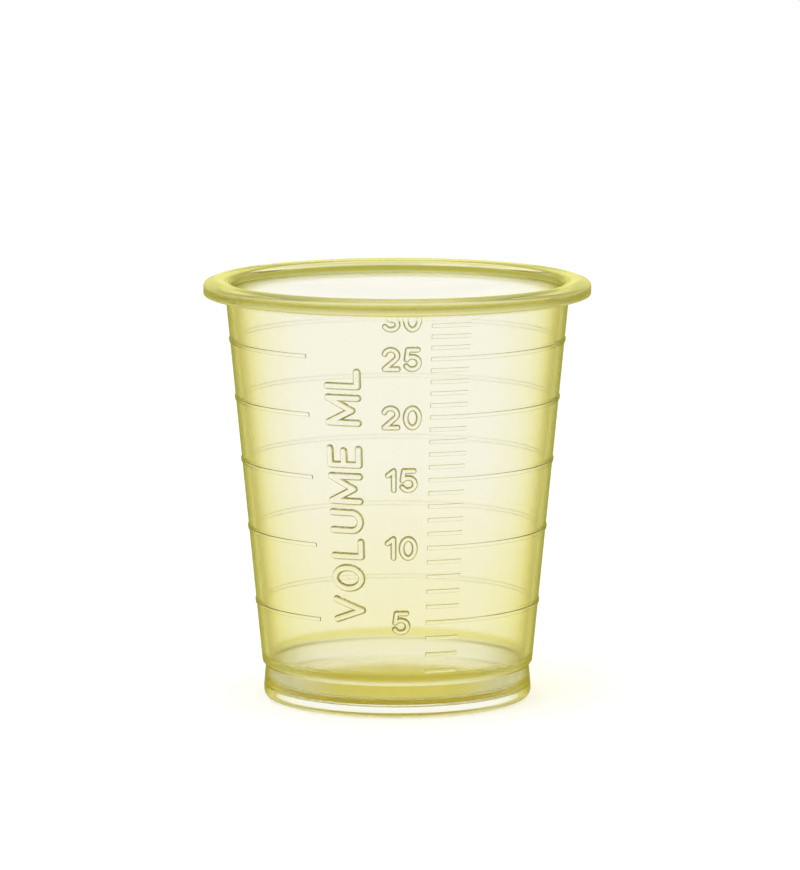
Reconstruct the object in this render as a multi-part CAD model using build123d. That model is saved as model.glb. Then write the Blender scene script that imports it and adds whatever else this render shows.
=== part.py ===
from build123d import *
import math
import os

# A graduated dosing cup, injection moulded in one piece. Millimetres, +Z up.
# The origin is the centre of the circle on which the foot stands.
# The front, where the numerals go, looks along -Y. Azimuths are counted from there towards +X.

# Tapered wall, given by its outside, up to the underside of the rim
wall_thickness = 0.7
wall_radius_at_table = 13.66
wall_slope = 0.097
wall_height = 41.95

# Rim: a flange that runs out flat from the top of the wall and is rounded over on top.
# Heights are counted from its underside.
rim_overhang = 2.27
rim_face_height = 1.25
rim_crest_height = 1.74
rim_crest_inset = 1.2
mouth_edge_height = 1.47
mouth_edge_inset = 0.47
mouth_wall_height = 1.0
rim_root_fillet = 0.3
rim_lower_fillet = 0.25
rim_upper_fillet = 0.45
rim_crest_fillet = 1.2
mouth_fillet = 0.35

# Foot: a slightly flared skirt, set in from the wall by a rounded step
foot_radius = 13.87
foot_edge_fillet = 0.8
foot_flare_height = 1.1
neck_radius = 13.67
neck_height = 3.42
step_height = 3.74
neck_fillet = 0.25
step_fillet = 0.4
recess_radius = 12.8
recess_draft = 0.1
recess_lip_fillet = 0.2
recess_corner_fillet = 0.3

# Inside of the foot and the dished floor
foot_bore_radius = 13.1
foot_bore_top = 4.0
foot_bore_draft = 0.1
ledge_rise = 0.55
ledge_fillet = 0.9
floor_centre_height = 0.7
floor_edge_height = 1.9
floor_thickness = 0.5
floor_corner_fillet = 0.5

# Gate mark in the middle of the underside
gate_dimple_radius = 1.6
gate_dimple_depth = 0.1
gate_stub_radius = 0.45

# Graduation: raised lines, one for each millilitre, and a ring for each five
cubic_mm_per_ml = 1000.0
first_line_ml = 2
ring_every_ml = 5
line_base_width = 0.42
line_top_width = 0.22
line_rise = 0.1
line_root = 0.2
line_start_azimuth = 11.4
tick_arc = 13
ring_arc = 316


def wall_radius(height):
    """Outside radius of the tapered wall."""
    return wall_radius_at_table + wall_slope * height


def bore_radius(height):
    """Inside radius of the tapered wall."""
    return wall_radius(height) - wall_thickness


ledge_height = foot_bore_top + ledge_rise
rim_radius = wall_radius(wall_height) + rim_overhang
mouth_wall_top = wall_height + mouth_wall_height


def dish_height(radius):
    """Top of the floor, a shallow dish of one radius with its lowest point on the axis."""
    depth = floor_edge_height - floor_centre_height
    edge = foot_bore_radius - foot_bore_draft
    dish_radius = (edge**2 + depth**2) / (2 * depth)
    return floor_centre_height + dish_radius - math.sqrt(dish_radius**2 - radius**2)


def on_section(radius, height):
    """Point of the upright half section, which lies in the plane Y = 0."""
    return Vector(radius, 0, height)


def round_corner(face, corner, radius):
    """Face with the corner nearest to the given point rounded."""
    vertex = face.vertices().sort_by(lambda v: (Vector(v) - corner).length)[0]
    return face.fillet_2d(radius, [vertex])


def run_of_lines(points):
    """Straight edges through the given points, in order."""
    return [Edge.make_line(start, end) for start, end in zip(points, points[1:])]


def cup_section():
    """Half section of the cup, from the axis out to the rim."""
    floor_edge = foot_bore_radius - foot_bore_draft
    recess_edge = recess_radius - recess_draft
    underside_centre = on_section(0, floor_centre_height - floor_thickness)
    underside_middle = on_section(recess_edge / 2, dish_height(recess_edge / 2) - floor_thickness)
    recess_corner = on_section(recess_edge, dish_height(recess_edge) - floor_thickness)
    recess_lip = on_section(recess_radius, 0)
    foot_corner = on_section(foot_radius, 0)
    foot_flare = on_section(foot_radius, foot_flare_height)
    neck = on_section(neck_radius, neck_height)
    step = on_section(wall_radius(step_height), step_height)
    rim_root = on_section(wall_radius(wall_height), wall_height)
    rim_lower = on_section(rim_radius, wall_height)
    rim_upper = on_section(rim_radius, wall_height + rim_face_height)
    crest = on_section(rim_radius - rim_crest_inset, wall_height + rim_crest_height)
    mouth_edge_radius = bore_radius(wall_height) + mouth_edge_inset
    mouth_edge = on_section(mouth_edge_radius, wall_height + mouth_edge_height)
    mouth_wall = on_section(bore_radius(mouth_wall_top), mouth_wall_top)
    ledge = on_section(bore_radius(ledge_height), ledge_height)
    foot_bore = on_section(foot_bore_radius, foot_bore_top)
    floor_corner = on_section(floor_edge, floor_edge_height)
    floor_middle = on_section(floor_edge / 2, dish_height(floor_edge / 2))
    floor_centre = on_section(0, floor_centre_height)

    underside = Edge.make_three_point_arc(underside_centre, underside_middle, recess_corner)
    outside = run_of_lines(
        [recess_corner, recess_lip, foot_corner, foot_flare, neck, step, rim_root, rim_lower]
    )
    rim = run_of_lines([rim_lower, rim_upper, crest, mouth_edge, mouth_wall])
    inside = run_of_lines([mouth_wall, ledge, foot_bore, floor_corner])
    floor = Edge.make_three_point_arc(floor_corner, floor_middle, floor_centre)
    axis_line = Edge.make_line(floor_centre, underside_centre)
    face = Face(Wire([underside, *outside, *rim, *inside, floor, axis_line]))

    face = round_corner(face, recess_corner, recess_corner_fillet)
    face = round_corner(face, recess_lip, recess_lip_fillet)
    face = round_corner(face, foot_corner, foot_edge_fillet)
    face = round_corner(face, neck, neck_fillet)
    face = round_corner(face, step, step_fillet)
    face = round_corner(face, rim_root, rim_root_fillet)
    face = round_corner(face, rim_lower, rim_lower_fillet)
    face = round_corner(face, rim_upper, rim_upper_fillet)
    face = round_corner(face, crest, rim_crest_fillet)
    face = round_corner(face, mouth_edge, mouth_fillet)
    face = round_corner(face, mouth_wall, mouth_fillet)
    face = round_corner(face, ledge, ledge_fillet)
    face = round_corner(face, foot_bore, ledge_fillet)
    face = round_corner(face, floor_corner, floor_corner_fillet)
    return face


def foot_cavity():
    """Space that the cup encloses from the floor up to the lower end of the tapered wall."""
    floor_edge = foot_bore_radius - foot_bore_draft
    centre = on_section(0, floor_centre_height)
    middle = on_section(floor_edge / 2, dish_height(floor_edge / 2))
    corner = on_section(floor_edge, floor_edge_height)
    bore = on_section(foot_bore_radius, foot_bore_top)
    ledge = on_section(bore_radius(ledge_height), ledge_height)
    surface = on_section(0, ledge_height)
    floor = Edge.make_three_point_arc(centre, middle, corner)
    side = run_of_lines([corner, bore, ledge, surface, centre])
    return revolve(Face(Wire([floor, *side])), axis=Axis.Z)


def fill_height(millilitres, foot_volume):
    """Level of the liquid on the tapered wall, which holds what the foot can't."""
    low_radius = bore_radius(ledge_height)
    in_wall = millilitres * cubic_mm_per_ml - foot_volume
    surface_radius = (low_radius**3 + 3 * wall_slope * in_wall / math.pi) ** (1 / 3)
    return ledge_height + (surface_radius - low_radius) / wall_slope


def raised_line(height, arc):
    """Line around the wall, narrower on top than at its base, from the common start azimuth."""
    surface = wall_radius(height)
    base = line_base_width / 2
    top = line_top_width / 2
    corners = [
        on_section(surface - line_root, height - base),
        on_section(surface, height - base),
        on_section(surface + line_rise, height - top),
        on_section(surface + line_rise, height + top),
        on_section(surface, height + base),
        on_section(surface - line_root, height + base),
    ]
    profile = Face(Wire(run_of_lines([*corners, corners[0]])))
    line = revolve(profile, axis=Axis.Z, revolution_arc=arc)
    return Rot(0, 0, line_start_azimuth - 90) * line


def graduation():
    """All raised lines that fit below the rim, at the heights to which the cup fills."""
    foot_volume = foot_cavity().volume
    highest = wall_height - rim_root_fillet - line_base_width / 2
    millilitres = first_line_ml
    height = fill_height(millilitres, foot_volume)
    lines = []
    while height < highest:
        arc = ring_arc if millilitres % ring_every_ml == 0 else tick_arc
        lines.append(raised_line(height, arc))
        print(millilitres, "ml at", round(height, 2))
        millilitres += 1
        height = fill_height(millilitres, foot_volume)
    return lines


def gate_mark():
    """Dimple left by the gate, with its broken stub in the middle."""
    underside = floor_centre_height - floor_thickness
    dimple = Pos(0, 0, underside) * Cylinder(gate_dimple_radius, 2 * gate_dimple_depth)
    stub = Pos(0, 0, underside) * Cylinder(gate_stub_radius, 2 * gate_dimple_depth)
    return dimple - stub


cup = revolve(cup_section(), axis=Axis.Z)
cup = cup + graduation()
cup = cup - gate_mark()
cup = cup.solids().sort_by(lambda solid: solid.volume)[-1]

os.makedirs("parts", exist_ok=True)
export_step(cup, "parts/cup.step")
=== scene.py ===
import bpy
import math
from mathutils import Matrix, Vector


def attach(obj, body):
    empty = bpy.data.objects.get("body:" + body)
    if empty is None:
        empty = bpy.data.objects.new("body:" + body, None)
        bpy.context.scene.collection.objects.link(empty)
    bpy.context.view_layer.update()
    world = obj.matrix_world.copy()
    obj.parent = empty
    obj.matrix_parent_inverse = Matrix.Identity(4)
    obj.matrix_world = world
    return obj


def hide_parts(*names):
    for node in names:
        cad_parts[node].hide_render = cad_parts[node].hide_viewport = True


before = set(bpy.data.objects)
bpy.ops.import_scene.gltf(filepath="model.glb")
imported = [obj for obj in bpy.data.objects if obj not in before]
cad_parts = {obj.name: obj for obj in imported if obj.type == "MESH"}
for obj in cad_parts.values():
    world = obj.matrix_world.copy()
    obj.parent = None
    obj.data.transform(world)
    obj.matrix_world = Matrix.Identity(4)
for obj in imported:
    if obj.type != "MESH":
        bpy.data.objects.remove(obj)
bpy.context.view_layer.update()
bpy.ops.object.select_all(action="DESELECT")

mm = 0.001
zAxis = (0, 0, 1)

cup = {  # millimetres and degrees; a pair is a radius and a height, or for the dimple a depth
    "spinSteps": 240,
    "arcStep": 8,
    "leastArcSteps": 2,
    "guard": 0.03,
    "weld": 0.002,
    "smoothAngle": 32,
    "wallAtTable": 13.66,
    "wallSlope": 0.097,
    "wallThickness": 0.7,
    "wallFoot": 4.5,
    "wallTop": 41.3,
    "wallRings": range(6, 42, 3),
    "floorCentre": 0.7,
    "floorEdge": 1.9,
    "floorThickness": 0.5,
    "floorRounding": 0.5,
    "floorRings": 22,
    "footBore": (13.1, 4.0),
    "footBoreDraft": 0.1,
    "ledge": 4.55,
    "ledgeRounding": 0.9,
    "mouthWallTop": 42.95,
    "mouthEdge": (17.499, 43.42),
    "mouthRounding": 0.35,
    "crest": (18.799, 43.69),
    "crestRounding": 1.2,
    "rimFaceTop": (19.999, 43.2),
    "rimUpperRounding": 0.45,
    "rimUnderside": (19.999, 41.95),
    "rimLowerRounding": 0.25,
    "rimRootRounding": 0.3,
    "step": 3.74,
    "stepRounding": 0.4,
    "neck": (13.67, 3.42),
    "neckRounding": 0.25,
    "footFlare": (13.87, 1.1),
    "footRounding": 0.8,
    "recessRadius": 12.8,
    "recessDraft": 0.1,
    "recessLipRounding": 0.2,
    "recessCornerRounding": 0.3,
    "gateDimple": (1.6, 0.1),
    "gateDimpleSlope": 0.1,
    "gateStub": 0.45,
    "gateStubSlope": 0.03,
}


def wallRadius(height):
    return cup["wallAtTable"] + cup["wallSlope"] * height


def boreRadius(height):
    return wallRadius(height) - cup["wallThickness"]


def dishHeight(radius):
    edge = cup["footBore"][0] - cup["footBoreDraft"]
    depth = cup["floorEdge"] - cup["floorCentre"]
    dishRadius = (edge ** 2 + depth ** 2) / (2 * depth)
    return cup["floorCentre"] + dishRadius - math.sqrt(dishRadius ** 2 - radius ** 2)


def roundedRun(corners):
    # corners are (radius, height, rounding)
    # each rounding becomes an arc with a guard point at either end
    guard = cup["guard"]
    run = []
    for i, (r, z, rounding) in enumerate(corners):
        here = Vector((r, z))
        if rounding == 0 or i in (0, len(corners) - 1):
            run.append(here)
            continue
        back = (Vector(corners[i - 1][:2]) - here).normalized()
        on = (Vector(corners[i + 1][:2]) - here).normalized()
        half = back.angle(on) / 2
        reach = rounding / math.tan(half)
        middle = here + (back + on).normalized() * rounding / math.sin(half)
        start = here + back * reach
        turn = math.pi - 2 * half
        steps = max(cup["leastArcSteps"], round(turn / math.radians(cup["arcStep"])))
        side = 1 if back.x * on.y - back.y * on.x < 0 else -1
        run.append(start + back * guard)
        for k in range(steps + 1):
            angle = side * turn * k / steps
            spoke = start - middle
            run.append(middle + Vector((spoke.x * math.cos(angle) - spoke.y * math.sin(angle),
                                        spoke.x * math.sin(angle) + spoke.y * math.cos(angle))))
        run.append(here + on * (reach + guard))
    return run


def dishRun(edge, drop, inward):
    # points of the dished floor, or of its underside when it drops by the floor's thickness
    rings = cup["floorRings"]
    radii = [edge * k / rings for k in range(rings)]
    run = [Vector((r, dishHeight(r) - drop)) for r in radii]
    return run[::-1] if inward else run


def insideOutline():
    bore, boreTop = cup["footBore"]
    edge = bore - cup["footBoreDraft"]
    underside = cup["rimUnderside"][1]
    dish = dishRun(edge, 0, False)
    wall = [(boreRadius(z), z, 0) for z in cup["wallRings"]]
    return dish[:-1] + roundedRun([
        (dish[-1].x, dish[-1].y, 0),
        (edge, cup["floorEdge"], cup["floorRounding"]),
        (bore, boreTop, cup["ledgeRounding"]),
        (boreRadius(cup["ledge"]), cup["ledge"], cup["ledgeRounding"]),
        *wall,
        (boreRadius(cup["mouthWallTop"]), cup["mouthWallTop"], cup["mouthRounding"]),
        (*cup["mouthEdge"], cup["mouthRounding"]),
        (*cup["crest"], cup["crestRounding"]),
        (*cup["rimFaceTop"], cup["rimUpperRounding"]),
        (*cup["rimUnderside"], cup["rimLowerRounding"]),
        (wallRadius(underside), underside, cup["rimRootRounding"]),
        (wallRadius(cup["wallTop"]), cup["wallTop"], 0),
    ])


def outsideOutline():
    dimpleRadius, dimpleDepth = cup["gateDimple"]
    edge = cup["recessRadius"] - cup["recessDraft"]
    dish = dishRun(edge, cup["floorThickness"], True)
    under = [p for p in dish if p.x > dimpleRadius]
    brim = dishHeight(dimpleRadius) - cup["floorThickness"]
    roof = cup["floorCentre"] - cup["floorThickness"] + dimpleDepth
    stub = cup["gateStub"]
    return roundedRun([
        (wallRadius(cup["wallFoot"]), cup["wallFoot"], 0),
        (wallRadius(cup["step"]), cup["step"], cup["stepRounding"]),
        (*cup["neck"], cup["neckRounding"]),
        (*cup["footFlare"], 0),
        (cup["footFlare"][0], 0, cup["footRounding"]),
        (cup["recessRadius"], 0, cup["recessLipRounding"]),
        (edge, dishHeight(edge) - cup["floorThickness"], cup["recessCornerRounding"]),
        (dish[0].x, dish[0].y, 0),
    ]) + under[1:] + [
        Vector((dimpleRadius, brim)),
        Vector((dimpleRadius - cup["gateDimpleSlope"], roof)),
        Vector((stub + cup["gateStubSlope"], roof)),
        Vector((stub, roof - dimpleDepth)),
        Vector((0, roof - dimpleDepth)),
    ]


graduation = {  # raised lines, which start at one azimuth; in millilitres, degrees and millimetres
    "cubicPerMl": 1000,
    "first": 2,
    "last": 28,
    "ringEvery": 5,
    "startAzimuth": 11.4,
    "tickArc": 13,
    "ringArc": 316,
    "width": 0.42,
    "rise": 0.1,
    "edgeRounding": 0.09,
    "edgeSteps": 3,
    "wallReach": 0.1,
    "lineReach": 0.05,
}


def footVolume():
    bore, boreTop = cup["footBore"]
    edge = bore - cup["footBoreDraft"]
    side = dishRun(edge, 0, False) + [
        Vector((edge, cup["floorEdge"])),
        Vector((bore, boreTop)),
        Vector((boreRadius(cup["ledge"]), cup["ledge"])),
    ]
    slices = [(a.x ** 2 + a.x * b.x + b.x ** 2) * (b.y - a.y) for a, b in zip(side, side[1:])]
    return math.pi / 3 * sum(slices)


def fillHeight(millilitres):
    low = boreRadius(cup["ledge"])
    inWall = graduation["cubicPerMl"] * millilitres - footVolume()
    surface = (low ** 3 + 3 * cup["wallSlope"] * inWall / math.pi) ** (1 / 3)
    return cup["ledge"] + (surface - low) / cup["wallSlope"]


lineHeights = {ml: fillHeight(ml) for ml in range(graduation["first"], graduation["last"] + 1)}


def wallOutline():
    # outside of the wall from the rim down, with a pair of points at each raised line
    run = []
    half = graduation["width"] / 2
    for ml in sorted(lineHeights, reverse=True):
        for z in (lineHeights[ml] + half, lineHeights[ml] - half):
            run.append(Vector((wallRadius(z), z)))
    return run


def spinOutline(name, points, steps, weld):
    # one vertex is extruded from point to point, and the line spun about the axis
    # the new piece is left in edit mode
    bpy.ops.mesh.primitive_plane_add(size=mm, location=(0, 0, 0))
    piece = bpy.context.object
    piece.name = name
    bpy.ops.object.mode_set(mode="EDIT")
    bpy.ops.mesh.select_all(action="SELECT")
    bpy.ops.mesh.merge(type="CENTER")
    bpy.ops.transform.translate(value=points[0])
    for here, there in zip(points, points[1:]):
        bpy.ops.mesh.extrude_region_move(TRANSFORM_OT_translate={"value": there - here})
    bpy.ops.mesh.select_all(action="SELECT")
    bpy.ops.mesh.spin(steps=steps, angle=math.tau, center=(0, 0, 0), axis=zAxis)
    bpy.ops.mesh.select_all(action="SELECT")
    bpy.ops.mesh.remove_doubles(threshold=weld)
    bpy.ops.mesh.normals_make_consistent(inside=False)
    return piece


def spinCup():
    # the outline stands at the azimuth where the raised lines start
    outline = insideOutline() + wallOutline() + outsideOutline()
    azimuth = math.radians(graduation["startAzimuth"])
    right, front = math.sin(azimuth), -math.cos(azimuth)
    points = [Vector((p.x * right, p.x * front, p.y)) * mm for p in outline]
    piece = spinOutline("dosing_cup", points, cup["spinSteps"], cup["weld"] * mm)
    bpy.ops.object.mode_set(mode="OBJECT")
    print("cup spun:", len(points), "outline points,", len(piece.data.polygons), "faces")
    return piece


def azimuthOf(point):
    return math.degrees(math.atan2(point.x, -point.y)) % 360


def raiseLines(piece):
    # the faces between a line's two loops are extruded off the wall, as far round as it goes,
    # and their edges rounded
    start = graduation["startAzimuth"]
    bpy.ops.object.mode_set(mode="EDIT")
    bpy.ops.mesh.select_mode(type="FACE")
    bpy.ops.mesh.select_all(action="DESELECT")
    bpy.ops.object.mode_set(mode="OBJECT")
    for face in piece.data.polygons:
        height = face.center.z / mm
        radius = math.hypot(face.center.x, face.center.y) / mm
        if radius < wallRadius(height) - graduation["wallReach"]:
            continue
        for ml, lineHeight in lineHeights.items():
            isRing = ml % graduation["ringEvery"] == 0
            arc = graduation["ringArc"] if isRing else graduation["tickArc"]
            along = (azimuthOf(face.center) - start) % 360
            if abs(height - lineHeight) < graduation["lineReach"] and along < arc:
                face.select = True
    bpy.ops.object.mode_set(mode="EDIT")
    bpy.ops.mesh.extrude_region_shrink_fatten(
        TRANSFORM_OT_shrink_fatten={"value": graduation["rise"] * mm, "use_even_offset": True})
    bpy.ops.mesh.region_to_loop()
    bpy.ops.mesh.bevel(offset=graduation["edgeRounding"] * mm, segments=graduation["edgeSteps"],
                       affect="EDGES")
    bpy.ops.mesh.select_mode(type="VERT")
    bpy.ops.mesh.select_all(action="DESELECT")
    bpy.ops.object.mode_set(mode="OBJECT")
    print("lines raised:", len(lineHeights), "heights,", len(piece.data.polygons), "faces")


lettering = {  # raised strokes in the gap at the front, in millimetres and degrees
    "rise": 0.3,
    "root": 0.16,
    "rootSpread": 0.02,
    "shoulder": 0.08,
    "shoulderLean": 0.035,
    "shoulderShare": 0.4,
    "sideWidth": 0.17,
    "arcStep": 12,
    "leastArcSteps": 6,
    "sharpTurn": 20,
    "dotSteps": 20,
    "weld": 0.001,
    "numeralAzimuth": 1.5,
    "numeralHeight": 2.6,
    "numeralStroke": 0.62,
    "numeralGap": 0.2,
    "topNumeral": 30,
    "topNumeralHeight": 41.4,
    "word": "VOLUME ML",
    "wordAzimuth": -19.1,
    "wordMiddle": 23.15,
    "wordHeight": 3.75,
    "wordStroke": 0.78,
    "wordGap": 0.42,
    "wordSpace": 1.5,
    "sliceWidth": 0.5,
}

# Each character is strokes through points on a square of height 1, measured between stroke middles.
# An arc is (middle x, middle y, radius x, radius y, first degree, last degree).
glyphs = {
    "0": (0.68, [[(0.34, 0.5, 0.34, 0.5, 0, 360)]]),
    "1": (0.3, [[(0, 0.76), (0.3, 1), (0.3, 0)]]),
    "2": (0.68, [[(0.33, 0.7, 0.33, 0.3, 165, -35), (0, 0), (0.68, 0)]]),
    "3": (0.66, [[(0.32, 0.74, 0.3, 0.26, 160, -80)],
                 [(0.32, 0.26, 0.34, 0.26, 90, -155)],
                 [(0.24, 0.52), (0.36, 0.52)]]),
    "5": (0.67, [[(0.6, 1), (0.1, 1), (0.03, 0.5), (0.32, 0.32, 0.35, 0.32, 130, -150)]]),
    "E": (0.55, [[(0.55, 1), (0, 1), (0, 0), (0.55, 0)], [(0, 0.52), (0.48, 0.52)]]),
    "L": (0.5, [[(0, 1), (0, 0), (0.5, 0)]]),
    "M": (0.86, [[(0, 0), (0, 1), (0.43, 0.2), (0.86, 1), (0.86, 0)]]),
    "O": (0.72, [[(0.36, 0.5, 0.36, 0.5, 0, 360)]]),
    "U": (0.62, [[(0, 1), (0.31, 0.31, 0.31, 0.31, 180, 360), (0.62, 1)]]),
    "V": (0.7, [[(0, 1), (0.35, 0), (0.7, 1)]]),
}


def strokePoints(stroke, scale, start):
    points = []
    for part in stroke:
        if len(part) == 2:
            points.append(Vector(part))
            continue
        x, y, radiusX, radiusY, first, last = part
        steps = max(lettering["leastArcSteps"], round(abs(last - first) / lettering["arcStep"]))
        for k in range(steps + 1):
            angle = math.radians(first + (last - first) * k / steps)
            points.append(Vector((x + radiusX * math.cos(angle), y + radiusY * math.sin(angle))))
    return [Vector((start + p.x * scale, p.y * scale, 0)) for p in points]


def halfProfile(width):
    # from the foot of a stroke's side to the middle of its top
    low, high = width / 2, width / 2 - lettering["sideWidth"]
    rise, shoulder = lettering["rise"], lettering["shoulder"]
    return [
        (low + lettering["rootSpread"], -lettering["root"]),
        (low, 0),
        (high + lettering["shoulderLean"], rise - shoulder),
        (high, rise - lettering["shoulderShare"] * shoulder),
        (high - shoulder, rise),
    ]


def addDot(point, width):
    # a round end or corner: half of the profile turned about its middle
    outline = [(0, -lettering["root"])] + halfProfile(width) + [(0, lettering["rise"])]
    points = [Vector((r, 0, z)) for r, z in outline]
    dot = spinOutline("dot", points, lettering["dotSteps"], lettering["weld"])
    bpy.ops.transform.translate(value=point)
    bpy.ops.object.mode_set(mode="OBJECT")
    return dot


def addStroke(points, profile, closed):
    # the profile swept along the middle line of a stroke
    line = bpy.data.curves.new("stroke", "CURVE")
    line.dimensions = "2D"
    line.bevel_mode = "OBJECT"
    line.bevel_object = profile
    line.use_fill_caps = not closed
    spline = line.splines.new("POLY")
    count = len(points) - 1 if closed else len(points)
    spline.points.add(count - 1)
    for at, p in zip(spline.points, points):
        at.co = (*p, 1)
    spline.use_cyclic_u = closed
    stroke = bpy.data.objects.new("stroke", line)
    bpy.context.collection.objects.link(stroke)
    bpy.ops.object.select_all(action="DESELECT")
    stroke.select_set(True)
    bpy.context.view_layer.objects.active = stroke
    bpy.ops.object.convert(target="MESH")
    stroke = bpy.context.object
    bpy.ops.object.mode_set(mode="EDIT")
    bpy.ops.mesh.select_all(action="SELECT")
    bpy.ops.mesh.remove_doubles(threshold=lettering["weld"])
    bpy.ops.mesh.normals_make_consistent(inside=False)
    bpy.ops.object.mode_set(mode="OBJECT")
    return stroke


def unite(piece, other):
    bpy.ops.object.select_all(action="DESELECT")
    piece.select_set(True)
    bpy.context.view_layer.objects.active = piece
    union = piece.modifiers.new("union", "BOOLEAN")
    union.operation = "UNION"
    union.solver = "MANIFOLD"
    union.object = other
    bpy.ops.object.modifier_apply(modifier=union.name)
    bpy.data.objects.remove(other)


def strokeProfile(width):
    half = halfProfile(width)
    loop = half + [(-x, z) for x, z in reversed(half)]
    profile = bpy.data.curves.new("profile", "CURVE")
    profile.dimensions = "2D"
    spline = profile.splines.new("POLY")
    spline.points.add(len(loop) - 1)
    for at, (x, z) in zip(spline.points, loop):
        at.co = (x, z, 0, 1)
    spline.use_cyclic_u = True
    holder = bpy.data.objects.new("profile", profile)
    bpy.context.collection.objects.link(holder)
    return holder


def splitAtCorners(points):
    # runs of a stroke between its sharp turns
    runs, run = [], [points[0]]
    for before, here, after in zip(points, points[1:], points[2:]):
        run.append(here)
        if (here - before).angle(after - here) > math.radians(lettering["sharpTurn"]):
            runs.append(run)
            run = [here]
    return runs + [run + [points[-1]]]


def strokeBodies(points, profile, width):
    # a ring, or straight and curved runs with a dot at each end and corner
    if (points[0] - points[-1]).length < lettering["weld"]:
        return [addStroke(points, profile, True)]
    runs = splitAtCorners(points)
    bodies = [addStroke(run, profile, False) for run in runs]
    return bodies + [addDot(run[0], width) for run in runs] + [addDot(points[-1], width)]


def flatWord(characters, height, width, gap):
    # one body in millimetres, centred on the origin, with its strokes' tops towards +Z
    profile = strokeProfile(width)
    scale = height - width
    start = 0
    word = None
    for character in characters:
        if character == " ":
            start += lettering["wordSpace"]
            continue
        breadth, strokes = glyphs[character]
        for stroke in strokes:
            for body in strokeBodies(strokePoints(stroke, scale, start), profile, width):
                if word is None:
                    word = body
                else:
                    unite(word, body)
        start += breadth * scale + width + gap
    bpy.data.objects.remove(profile)
    span = start - width - gap
    for v in word.data.vertices:
        v.co.x -= span / 2
        v.co.y -= scale / 2
    return word, span + width


def layOnWall(text, span, azimuth, height, upright):
    # sliced across its width, then each point goes round the cone and out from it
    step = lettering["sliceWidth"]
    sliceAxis, reach = (0, span) if upright else (1, lettering["wordHeight"])
    normal = (1, 0, 0) if upright else (0, 1, 0)
    bpy.ops.object.select_all(action="DESELECT")
    text.select_set(True)
    bpy.context.view_layer.objects.active = text
    bpy.ops.object.mode_set(mode="EDIT")
    for k in range(1, int(reach / step) + 1):
        at = [0, 0, 0]
        at[sliceAxis] = k * step - reach / 2
        bpy.ops.mesh.select_all(action="SELECT")
        bpy.ops.mesh.bisect(plane_co=at, plane_no=normal)
    bpy.ops.object.mode_set(mode="OBJECT")
    for v in text.data.vertices:
        across, up = (v.co.x, v.co.y) if upright else (-v.co.y, v.co.x)
        z = height + up
        radius = wallRadius(z) + v.co.z
        angle = math.radians(azimuth) + across / wallRadius(height)
        v.co = Vector((radius * math.sin(angle), -radius * math.cos(angle), z)) * mm


def addLettering(piece):
    # a numeral at each ring, one above the last line, and the word beside them
    numeralSizes = [lettering[name] for name in ("numeralHeight", "numeralStroke", "numeralGap")]
    wordSizes = [lettering[name] for name in ("wordHeight", "wordStroke", "wordGap")]
    places = {ml: z for ml, z in lineHeights.items() if ml % graduation["ringEvery"] == 0}
    places[lettering["topNumeral"]] = lettering["topNumeralHeight"]
    numerals = []
    for ml, z in places.items():
        numeral, span = flatWord(str(ml), *numeralSizes)
        layOnWall(numeral, span, lettering["numeralAzimuth"], z, True)
        numerals.append(numeral)
    word, span = flatWord(lettering["word"], *wordSizes)
    layOnWall(word, span, lettering["wordAzimuth"], lettering["wordMiddle"], False)
    for numeral in numerals:
        numeral.select_set(True)
    bpy.context.view_layer.objects.active = word
    bpy.ops.object.join()
    unite(piece, bpy.context.object)
    bpy.ops.object.shade_smooth_by_angle(angle=math.radians(cup["smoothAngle"]))
    print("characters raised:", len(piece.data.polygons), "faces")


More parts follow.
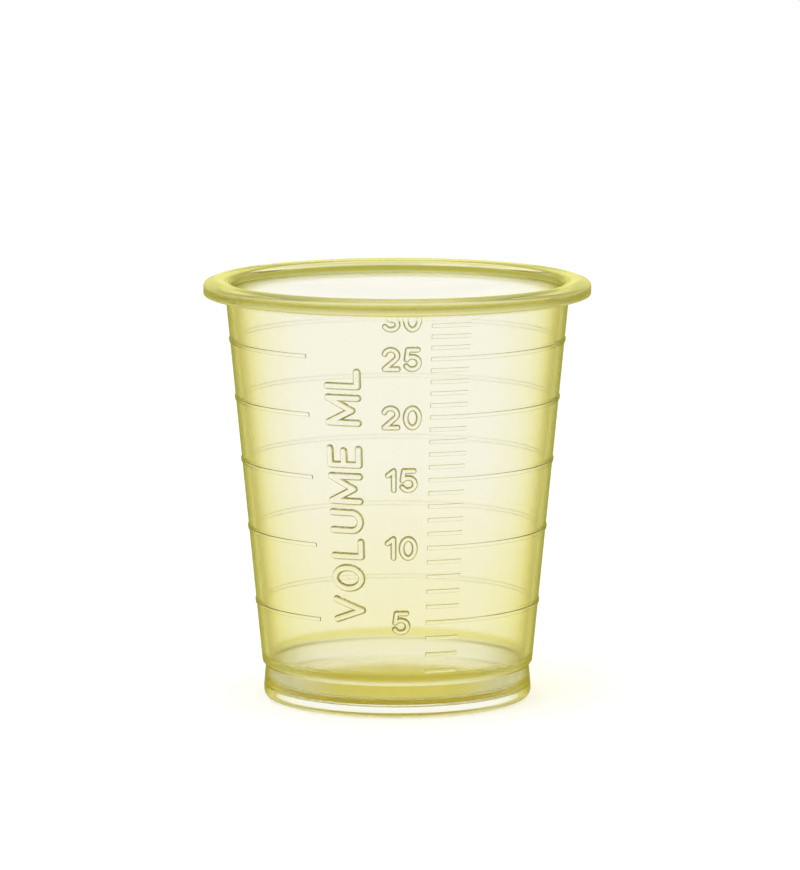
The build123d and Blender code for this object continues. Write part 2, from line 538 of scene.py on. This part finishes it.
plastic = {  # millimetres; of a pair, a place's look starts at the first and is full at the second
    "refraction": 1.5,
    "roughness": 0.06,
    "facingBlend": 0.5,
    # the plastic's own pale tint where a face looks at the camera, deepening to olive as painted
    # shade where it turns away
    "tintAndEdgeShadeStops": [  # how far a face turns away, then the colour
        (0.20, (0.985, 0.975, 0.90, 1)),
        (0.42, (0.97, 0.955, 0.70, 1)),
        (0.58, (0.93, 0.88, 0.42, 1)),
        (0.69, (0.72, 0.63, 0.12, 1)),
        (0.81, (0.46, 0.44, 0.05, 1)),
        (1.00, (0.34, 0.34, 0.04, 1)),
    ],
    "clearStops": [(0.25, 0.985), (0.45, 0.95), (0.6, 0.87), (0.75, 0.65), (1.0, 0.35)],
    "absorption": (0.90, 0.885, 0.2, 1),
    "density": 20,
    "shadow": (0.97, 0.94, 0.80, 1),

    "wallTo": (24, 9),
    "wallFrom": (4.4, 5.0),
    "wallTint": (0.985, 0.975, 0.84, 1),

    # painted glow: the rim is tinted deeper yellow, standing in for light carried round inside it
    "rimFrom": (41.7, 42.1),
    "rimOutside": (17.7, 18.0),
    "rimGlowTint": (0.88, 0.85, 0.30, 1),
    "rimShare": 0.8,
    "rimClear": 0.93,
    # painted shade: a darker band on the rim's outer face, for the lip seen through it
    "faceFrom": (42.1, 42.35),
    "faceTo": (43.0, 42.7),
    "faceOutside": (19.6, 19.8),
    "faceShadeTint": (0.66, 0.64, 0.34, 1),
    # painted shade: a dark band on the inner lip under the mouth
    "lipFrom": (42.1, 42.5),
    "lipTo": (43.15, 43.0),
    "lipInside": (17.7, 17.5),
    "lipShadeTint": (0.34, 0.32, 0.04, 1),
    "collarFrom": (41.2, 41.6),
    "collarTo": (42.6, 42.3),

    # painted shade: an olive band along the step
    "stepFrom": (3.5, 4.1),
    "stepTo": (4.95, 4.45),
    "stepShadeTint": (0.88, 0.85, 0.38, 1),
    "softFrom": (1.5, 1.9),
    "softTo": (5.0, 4.5),
    "softInside": (13.6, 13.45),
    "softRoughness": 0.38,
    "skirtFrom": (1.3, 2.0),
    "skirtTo": (4.4, 3.9),
    "skirtOutside": (13.0, 13.3),
    # painted shade: the skirt's near side is tinted deeper yellow, for the shade under the cup seen
    # through it
    "skirtShadeTint": (0.97, 0.94, 0.68, 1),
    "skirtRoughness": 0.2,
    # painted shade: a mustard lens on the skirt's near side, for the floor and its shade seen
    # through
    "lensMiddle": 2.8,
    "lensHalf": 1.0,
    "lensTurn": 0.3,
    "lensEdge": (1.15, 0.7),
    "lensShadeTint": (1.0, 0.955, 0.34, 1),
    # painted light: a pale patch at either end of the lens, where the plastic is also kept clear
    "patchTurn": (0.12, 0.35),
    "patchBack": (0.8, 0.45),
    "patchFrom": (2.3, 2.7),
    "patchTo": (4.0, 3.6),
    "patchLightTint": (1.0, 0.985, 0.8, 1),
    "shadeTurn": (0.45, 0.65),
    "shadeTo": (2.7, 2.2),
    "shadeTint": (0.88, 0.83, 0.34, 1),
    "soleTo": (1.0, 0.6),
    "soleTint": (0.94, 0.93, 0.66, 1),
    "soleShare": 0.85,

    "sideSlope": (0.9, 0.5),
    "sideTurn": (0.8, 0.6),
    "sideFrom": (4.9, 5.1),
    "sideTo": (41.4, 41.2),
    # painted shade on the steep sides of the raised lines and characters
    "sideShadeStops": [(0.25, (0.38, 0.36, 0.09, 1)), (0.45, (0.11, 0.10, 0.01, 1))],

    "floorInside": (13.25, 13.1),
    "floorTo": (2.6, 2.2),
    "floorTint": (0.995, 0.985, 0.92, 1),
    "floorShare": 0.97,
    # round the gate the floor is frosted, and painted shade there stands for the shadow under the
    # cup seen through it
    "frostAndShadeForward": 0.3,
    "frostAndShadeEdge": (12.0, 7.6),
    "floorShadeTint": (0.84, 0.76, 0.10, 1),
    "floorShadeClear": 0.35,
    "frostRoughness": 0.35,
    "grainScale": 3500,
    "grainDetail": 3.0,
    "grainRange": (0.3, 0.7),
    "grainLeast": 0.75,
}


class Shading:
    # short ways to add nodes to one material
    def __init__(self, name):
        self.material = bpy.data.materials.new(name)
        self.material.use_nodes = True
        self.nodes, self.links = self.material.node_tree.nodes, self.material.node_tree.links

    def put(self, socket, value):
        if isinstance(value, bpy.types.NodeSocket):
            self.links.new(value, socket)
        else:
            socket.default_value = value

    def add(self, kind, **inputs):
        node = self.nodes.new("ShaderNode" + kind)
        for name, value in inputs.items():
            self.put(node.inputs[name], value)
        return node

    def reckon(self, kind, operation, output, *values):
        node = self.add(kind)
        node.operation = operation
        for i, value in enumerate(values):
            self.put(node.inputs[i], value)
        return node.outputs[output]

    def number(self, operation, *values):
        return self.reckon("Math", operation, 0, *values)

    def times(self, first, *others):
        for other in others:
            first = self.number("MULTIPLY", first, other)
        return first

    def ramp(self, value, stops):
        node = self.add("ValToRGB", Fac=value)
        elements = node.color_ramp.elements
        elements.remove(elements[1])
        for i, (position, colour) in enumerate(stops):
            stop = elements[0] if i == 0 else elements.new(position)
            stop.position = position
            stop.color = colour if isinstance(colour, tuple) else (colour, colour, colour, 1)
        return node.outputs["Color"]

    def span(self, value, low, high, toLow=0.0, toHigh=1.0, smooth=False):
        node = self.add("MapRange", Value=value)
        node.interpolation_type = "SMOOTHSTEP" if smooth else "LINEAR"
        limits = {"From Min": low, "From Max": high, "To Min": toLow, "To Max": toHigh}
        for name, number in limits.items():
            node.inputs[name].default_value = number
        return node.outputs["Result"]

    def blend(self, share, first, second, kind="MIX"):
        node = self.add("Mix")
        node.data_type = "RGBA"
        node.blend_type = kind
        self.put(node.inputs["Factor"], share)
        self.put(node.inputs["A"], first)
        self.put(node.inputs["B"], second)
        return node.outputs["Result"]

    def mixShaders(self, share, first, second):
        mix = self.add("MixShader", Fac=share)
        self.links.new(first.outputs[0], mix.inputs[1])
        self.links.new(second.outputs[0], mix.inputs[2])
        return mix

    def finish(self, shader):
        self.links.new(shader.outputs[0], self.nodes["Material Output"].inputs["Surface"])
        return self.material


def fade(make, value, name):
    return make.span(value, *[number * mm for number in plastic[name]])


def rimPlaces(make, height, radius):
    # the thick rim, its edge and inner lip, with painted glow and shade, and the collar of wall
    # behind it
    inside = fade(make, radius, "lipInside")
    return {
        # painted glow on the rim
        "rim": make.times(fade(make, height, "rimFrom"), fade(make, radius, "rimOutside")),
        # painted shade on the rim's outer face
        "edge": make.times(fade(make, height, "faceFrom"), fade(make, height, "faceTo"),
                           fade(make, radius, "faceOutside")),
        # painted shade on the inner lip
        "lip": make.times(fade(make, height, "lipFrom"), fade(make, height, "lipTo"), inside),
        "collar": make.times(fade(make, height, "collarFrom"), fade(make, height, "collarTo"),
                             inside),
    }


def footPlaces(make, height, radius, turning, geometry):
    # the step, its soft inside, the skirt and the sole, with painted shade on the step and the
    # skirt
    # its near side: a lens of painted shade for the floor seen through, with pale painted light at
    # each end
    frontal = make.span(geometry.outputs["Backfacing"], 1, 0)
    near = make.times(fade(make, radius, "skirtOutside"), frontal)
    off = make.number("SUBTRACT", height, plastic["lensMiddle"] * mm)
    off = make.times(off, 1 / (plastic["lensHalf"] * mm))
    reach = make.number("ADD", make.times(off, off), make.times(turning, 1 / plastic["lensTurn"]))
    return {
        # painted shade along the step
        "step": make.times(fade(make, height, "stepFrom"), fade(make, height, "stepTo")),
        "soft": make.times(fade(make, height, "softFrom"), fade(make, height, "softTo"),
                           fade(make, radius, "softInside")),
        "skirt": make.times(fade(make, height, "skirtFrom"), fade(make, height, "skirtTo")),
        "near": near,
        "sole": fade(make, height, "soleTo"),
        "lens": make.times(make.span(reach, *plastic["lensEdge"], smooth=True), near),
        "patch": make.times(make.span(turning, *plastic["patchTurn"]),
                            make.span(turning, *plastic["patchBack"]),
                            fade(make, height, "patchFrom"), fade(make, height, "patchTo"), near),
        "shade": make.times(make.span(turning, *plastic["shadeTurn"]),
                            fade(make, height, "shadeTo"), near),
    }


def steepSides(make, height, outward, turning, geometry):
    # sides of the raised lines and characters, which don't look straight out from the axis
    # painted shade: these sides are darkened to olive, as outlines
    along = make.reckon("VectorMath", "NORMALIZE", "Vector", outward)
    slope = make.reckon("VectorMath", "DOT_PRODUCT", "Value", along, geometry.outputs["Normal"])
    return make.times(
        make.span(make.number("ABSOLUTE", slope), *plastic["sideSlope"]),
        make.span(turning, *plastic["sideTurn"]),
        fade(make, height, "sideFrom"),
        fade(make, height, "sideTo"),
    )


def floorPlaces(make, height, radius, outward, place):
    # the floor, frosted round the gate, with grainy painted shade there for the shadow under the
    # cup
    floor = make.times(fade(make, height, "floorTo"), fade(make, radius, "floorInside"))
    forward = (0, plastic["frostAndShadeForward"] * mm, 0)
    shifted = make.reckon("VectorMath", "ADD", "Vector", outward, forward)
    away = make.reckon("VectorMath", "LENGTH", "Value", shifted)
    frostAndShade = make.times(make.span(away, *[r * mm for r in plastic["frostAndShadeEdge"]], smooth=True), floor)
    grain = make.add("TexNoise", Vector=place, Scale=plastic["grainScale"],
                     Detail=plastic["grainDetail"])
    grain = make.span(grain.outputs["Fac"], *plastic["grainRange"], plastic["grainLeast"], 1.0)
    return {"floor": floor, "frostAndShade": frostAndShade, "grainyShade": make.times(frostAndShade, grain)}


def plasticTint(make, turning, at):
    # painted shade deepens the yellow where a face turns away; then each place's colour, mostly
    # painted shade or light
    tint = make.ramp(turning, plastic["tintAndEdgeShadeStops"])
    tint = make.blend(at["wall"], tint, plastic["wallTint"], "MULTIPLY")
    tint = make.blend(make.times(at["rim"], plastic["rimShare"]), tint, plastic["rimGlowTint"])
    tint = make.blend(at["edge"], tint, plastic["faceShadeTint"], "MULTIPLY")
    tint = make.blend(at["lip"], tint, plastic["lipShadeTint"])
    tint = make.blend(at["step"], tint, plastic["stepShadeTint"], "MULTIPLY")
    # painted shade on the skirt's near side
    tint = make.blend(make.times(at["skirt"], at["near"]), tint, plastic["skirtShadeTint"], "MULTIPLY")
    tint = make.blend(make.times(at["sole"], plastic["soleShare"]), tint, plastic["soleTint"])
    # the lens of painted shade
    tint = make.blend(at["lens"], tint, plastic["lensShadeTint"], "MULTIPLY")
    # pale patches of painted light
    tint = make.blend(at["patch"], tint, plastic["patchLightTint"])
    tint = make.blend(at["shade"], tint, plastic["shadeTint"], "MULTIPLY")
    tint = make.blend(at["steep"], tint, make.ramp(turning, plastic["sideShadeStops"]))
    tint = make.blend(make.times(at["floor"], plastic["floorShare"]), tint, plastic["floorTint"])
    # painted shade on the floor round the gate
    return make.blend(at["grainyShade"], tint, plastic["floorShadeTint"])


def plasticClearness(make, turning, at):
    # some haze where a face turns away, at the rim, and under the floor's painted shade
    clear = make.ramp(turning, plastic["clearStops"])
    clear = make.times(clear, make.span(at["rim"], 0, 1, 1, plastic["rimClear"]))
    clear = make.number("MAXIMUM", clear, at["patch"])
    return make.times(clear, make.span(at["grainyShade"], 0, 1, 1, plastic["floorShadeClear"]))


def plasticRoughness(make, at):
    # smooth all over but for the foot, the collar and the frosted floor round the gate
    inside = make.times(make.number("ADD", at["soft"], at["collar"]), plastic["softRoughness"])
    softened = make.number("ADD", inside, make.times(at["skirt"], plastic["skirtRoughness"]))
    frostedFloor = make.span(at["frostAndShade"], 0, 1, plastic["roughness"], plastic["frostRoughness"])
    return make.number("MAXIMUM", frostedFloor, softened)


def mouldedPlastic():
    make = Shading("translucent yellow plastic")
    place = make.add("TexCoord").outputs["Object"]
    apart = make.add("SeparateXYZ", Vector=place)
    height = apart.outputs["Z"]
    outward = make.add("CombineXYZ", X=apart.outputs["X"], Y=apart.outputs["Y"]).outputs["Vector"]
    radius = make.reckon("VectorMath", "LENGTH", "Value", outward)
    turning = make.add("LayerWeight", Blend=plastic["facingBlend"]).outputs["Facing"]
    geometry = make.add("NewGeometry")
    at = {
        **rimPlaces(make, height, radius),
        "wall": make.times(fade(make, height, "wallTo"), fade(make, height, "wallFrom")),
        "steep": steepSides(make, height, outward, turning, geometry),
        **footPlaces(make, height, radius, turning, geometry),
        **floorPlaces(make, height, radius, outward, place),
    }

    shader = make.nodes["Principled BSDF"]
    shader.inputs["IOR"].default_value = plastic["refraction"]
    make.put(shader.inputs["Base Color"], plasticTint(make, turning, at))
    make.put(shader.inputs["Transmission Weight"], plasticClearness(make, turning, at))
    make.put(shader.inputs["Roughness"], plasticRoughness(make, at))

    # lamplight reaches the floor through the cup, only a little tinted
    shadow = make.add("BsdfTransparent", Color=plastic["shadow"])
    surface = make.mixShaders(make.add("LightPath").outputs["Is Shadow Ray"], shader, shadow)
    body = make.add("VolumeAbsorption", Color=plastic["absorption"], Density=plastic["density"])
    make.links.new(body.outputs[0], make.nodes["Material Output"].inputs["Volume"])
    print("plastic made:", len(make.nodes), "nodes")
    return make.finish(surface)


studio = {  # metres and watts; white paper and a white world, with one soft lamp from the left
    "floorSize": 6.0,
    "floorWhite": 0.92,
    "floorLift": 0.16,
    "keyPower": 1.2,
    "keySize": 0.45,
    "keyPlace": (-0.25, -0.3, 0.5),
    "keyTarget": (0, 0, 0.02),
    "worldLight": 0.9,
    "cardRadius": 0.031,
    "cardHeight": 0.1,
    "cardSides": 96,
    "cardFloor": 0.0002,
    "cardLow": (0.41, 0.39, 0.09, 1),
    "cardHigh": (0.95, 0.92, 0.32, 1),
    "cardChange": (0.041, 0.045),
}


def addFloor():
    # paper under the cup, full white in reflections and through the plastic
    # the camera sees it lifted a little
    bpy.ops.mesh.primitive_plane_add(size=studio["floorSize"], location=(0, 0, 0))
    floor = bpy.context.object
    floor.name = "floor"
    make = Shading("white paper")
    white = studio["floorWhite"]
    paper = make.add("BsdfDiffuse", Color=(white, white, white, 1))
    path = make.add("LightPath")
    strength = make.times(path.outputs["Is Camera Ray"], studio["floorLift"])
    lift = make.add("Emission", Strength=strength)
    seen = make.add("AddShader")
    make.links.new(paper.outputs[0], seen.inputs[0])
    make.links.new(lift.outputs[0], seen.inputs[1])
    bent = make.number("MAXIMUM", path.outputs["Is Glossy Ray"],
                       path.outputs["Is Transmission Ray"])
    plain = make.add("Emission", Strength=1.0)
    floor.data.materials.append(make.finish(make.mixShaders(bent, seen, plain)))


def addCard():
    # an olive card close round and under the cup, which only reflections see
    sides, radius, tall = studio["cardSides"], studio["cardRadius"], studio["cardHeight"]
    bpy.ops.mesh.primitive_cylinder_add(vertices=sides, radius=radius, depth=tall,
                                        end_fill_type="NOTHING", location=(0, 0, tall / 2))
    ring = bpy.context.object
    bpy.ops.mesh.primitive_circle_add(vertices=sides, radius=radius, fill_type="NGON",
                                      location=(0, 0, studio["cardFloor"]))
    card = bpy.context.object
    ring.select_set(True)
    bpy.ops.object.join()
    card.name = "card"
    make = Shading("card")
    position = make.add("NewGeometry").outputs["Position"]
    height = make.add("SeparateXYZ", Vector=position).outputs["Z"]
    change = make.span(height, *studio["cardChange"])
    tone = make.blend(change, studio["cardLow"], studio["cardHigh"])
    card.data.materials.append(make.finish(make.add("Emission", Color=tone, Strength=1.0)))
    for kind in ("camera", "diffuse", "transmission", "shadow", "volume_scatter"):
        setattr(card, "visible_" + kind, False)


def addWorld():
    # full white where it is seen, mirrored or looked at through the plastic, a little less as light
    world = bpy.data.worlds.new("studio")
    bpy.context.scene.world = world
    world.use_nodes = True
    nodes, links = world.node_tree.nodes, world.node_tree.links
    path = nodes.new("ShaderNodeLightPath")
    seen = path.outputs["Is Camera Ray"]
    for kind in ("Is Glossy Ray", "Is Transmission Ray"):
        either = nodes.new("ShaderNodeMath")
        either.operation = "MAXIMUM"
        links.new(seen, either.inputs[0])
        links.new(path.outputs[kind], either.inputs[1])
        seen = either.outputs[0]
    strength = nodes.new("ShaderNodeMapRange")
    links.new(seen, strength.inputs["Value"])
    strength.inputs["To Min"].default_value = studio["worldLight"]
    strength.inputs["To Max"].default_value = 1.0
    links.new(strength.outputs["Result"], nodes["Background"].inputs["Strength"])
    nodes["Background"].inputs["Color"].default_value = (1, 1, 1, 1)


def buildStudio():
    addFloor()
    addCard()
    addWorld()
    bpy.ops.object.light_add(type="AREA", location=studio["keyPlace"])
    key = bpy.context.object
    key.name = "key softbox"
    key.data.size = studio["keySize"]
    key.data.energy = studio["keyPower"]
    aim = Vector(studio["keyTarget"]) - key.location
    key.rotation_euler = aim.to_track_quat("-Z", "Y").to_euler()
    print("studio built: floor, card, world and", key.name)


view = {  # fitted to the ellipses of rim and foot in the photograph, in metres and degrees
    "place": (0.000276, -0.578561, 0.109905),
    "lookDown": 8.13,
    "focalPixels": 5644.57,
    "frameWidth": 800,
    "sensorWidth": 36,
    "nearest": 0.01,
}


def placeCamera():
    tilt = math.radians(90 - view["lookDown"])
    bpy.ops.object.camera_add(location=view["place"], rotation=(tilt, 0, 0))
    camera = bpy.context.object
    camera.data.sensor_fit = "HORIZONTAL"
    camera.data.sensor_width = view["sensorWidth"]
    camera.data.lens = view["focalPixels"] * view["sensorWidth"] / view["frameWidth"]
    camera.data.clip_start = view["nearest"]
    bpy.context.scene.camera = camera
    bpy.context.scene.view_settings.view_transform = "Standard"


dosingCup = spinCup()
raiseLines(dosingCup)
addLettering(dosingCup)
dosingCup.data.materials.clear()
dosingCup.data.materials.append(mouldedPlastic())
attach(dosingCup, "root")
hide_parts("cup")
buildStudio()
placeCamera()
